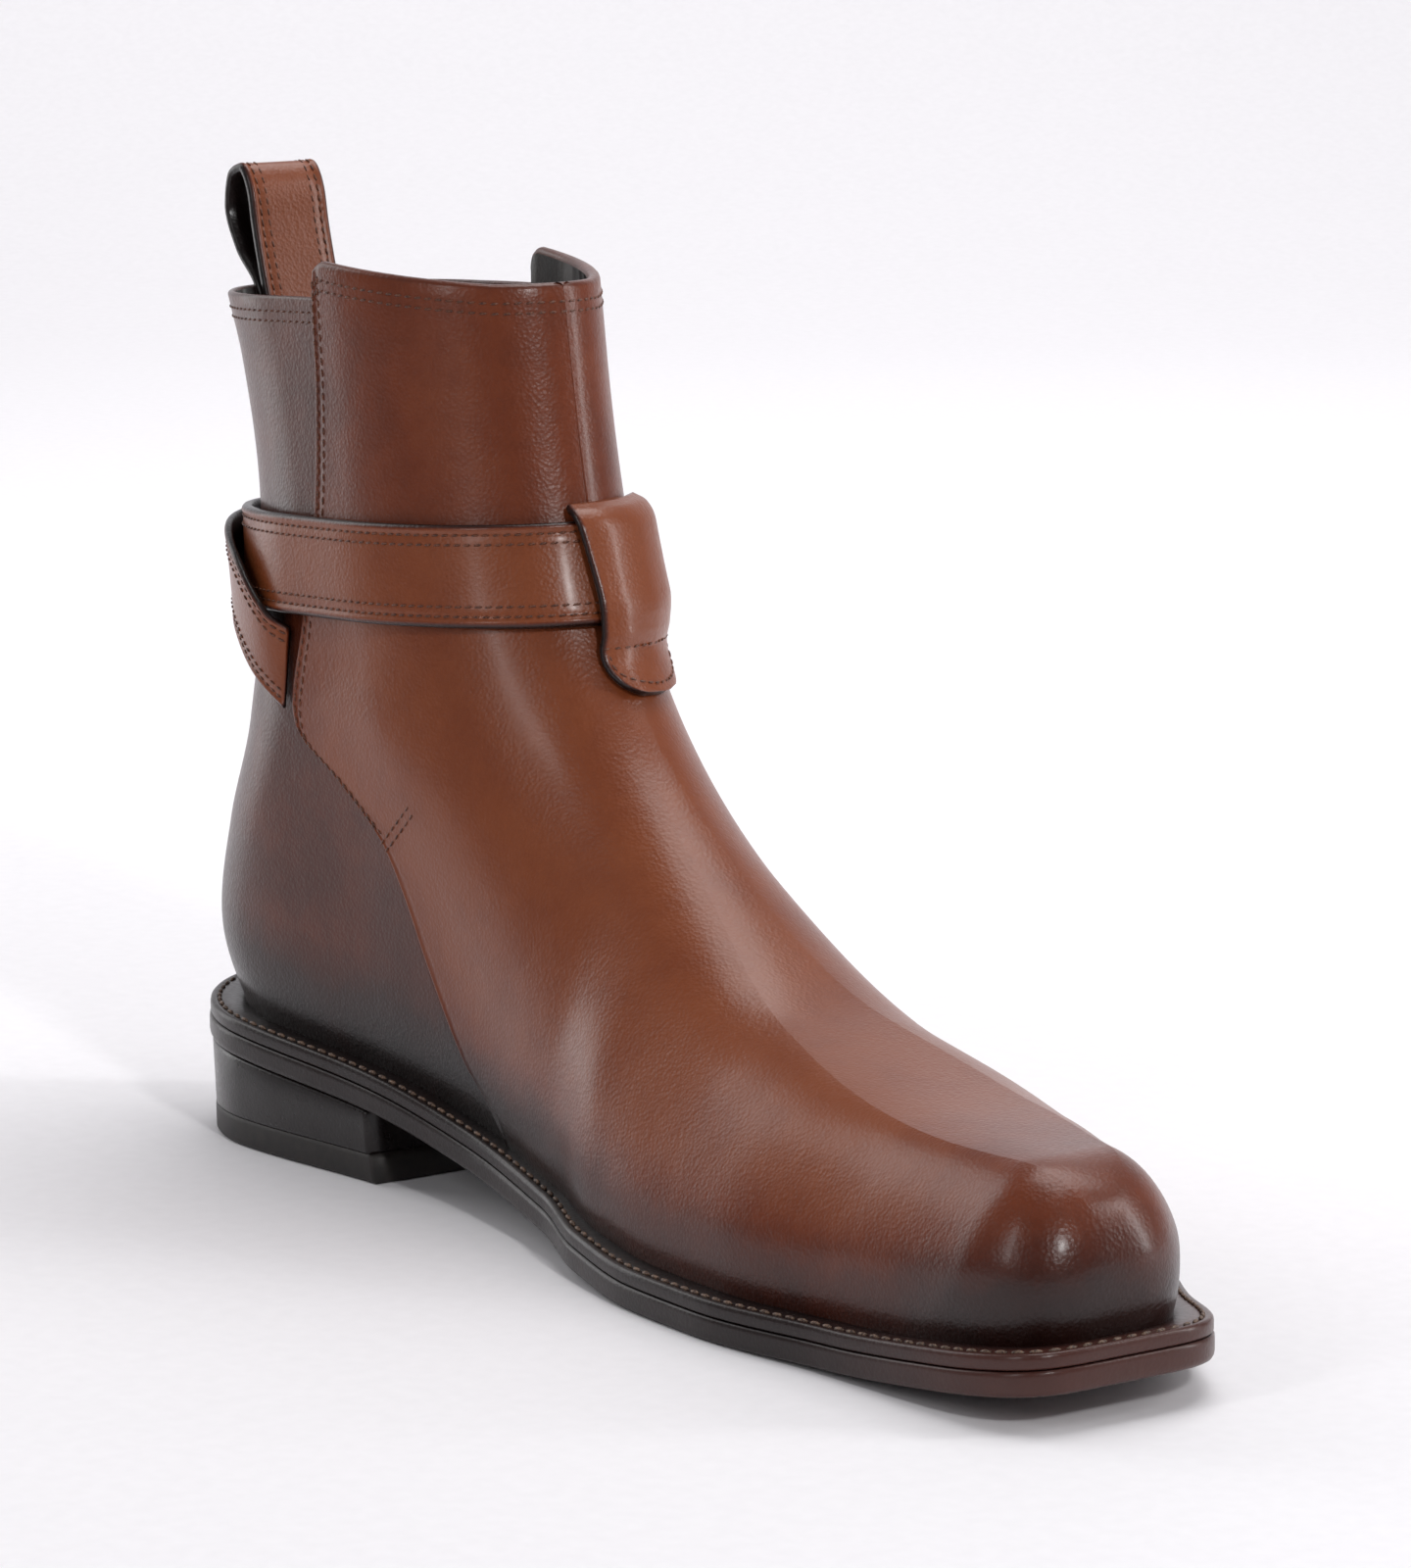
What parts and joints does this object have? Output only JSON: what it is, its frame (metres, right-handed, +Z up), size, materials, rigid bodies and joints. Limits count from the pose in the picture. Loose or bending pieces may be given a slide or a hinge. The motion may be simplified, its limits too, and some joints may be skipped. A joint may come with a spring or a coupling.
{
  "type": "jodhpur boot",
  "caption": "Left jodhpur ankle boot in burnished tan calf: leather sole and heel, wrapped ankle strap with a side buckle, front strap loop and a pull loop.",
  "frame": {"origin": "middle of the heel's flat rest face, on the floor plane", "axes": "+X towards the toe, +Y towards the outer (lateral) side of the left foot, +Z up"},
  "size_m": [0.3113, 0.0999, 0.1994],
  "materials": {
    "calf": "burnished, semi-gloss",
    "lining": "matt",
    "sole_edge": "waxed edge, satin",
    "heel": "waxed, satin",
    "top_piece": "matt",
    "buckle": "polished"
  },
  "bodies": {
    "root": {"outsole": "sole_edge", "welt": "sole_edge", "insole": "lining", "heel_stack": "heel", "heel_top_piece": "top_piece", "upper": "calf", "strap_long": "calf", "strap_buckle": "calf", "strap_loop": "calf", "pull_loop": "calf", "buckle_frame": "buckle", "buckle_prong": "buckle"}
  },
  "joints": []
}
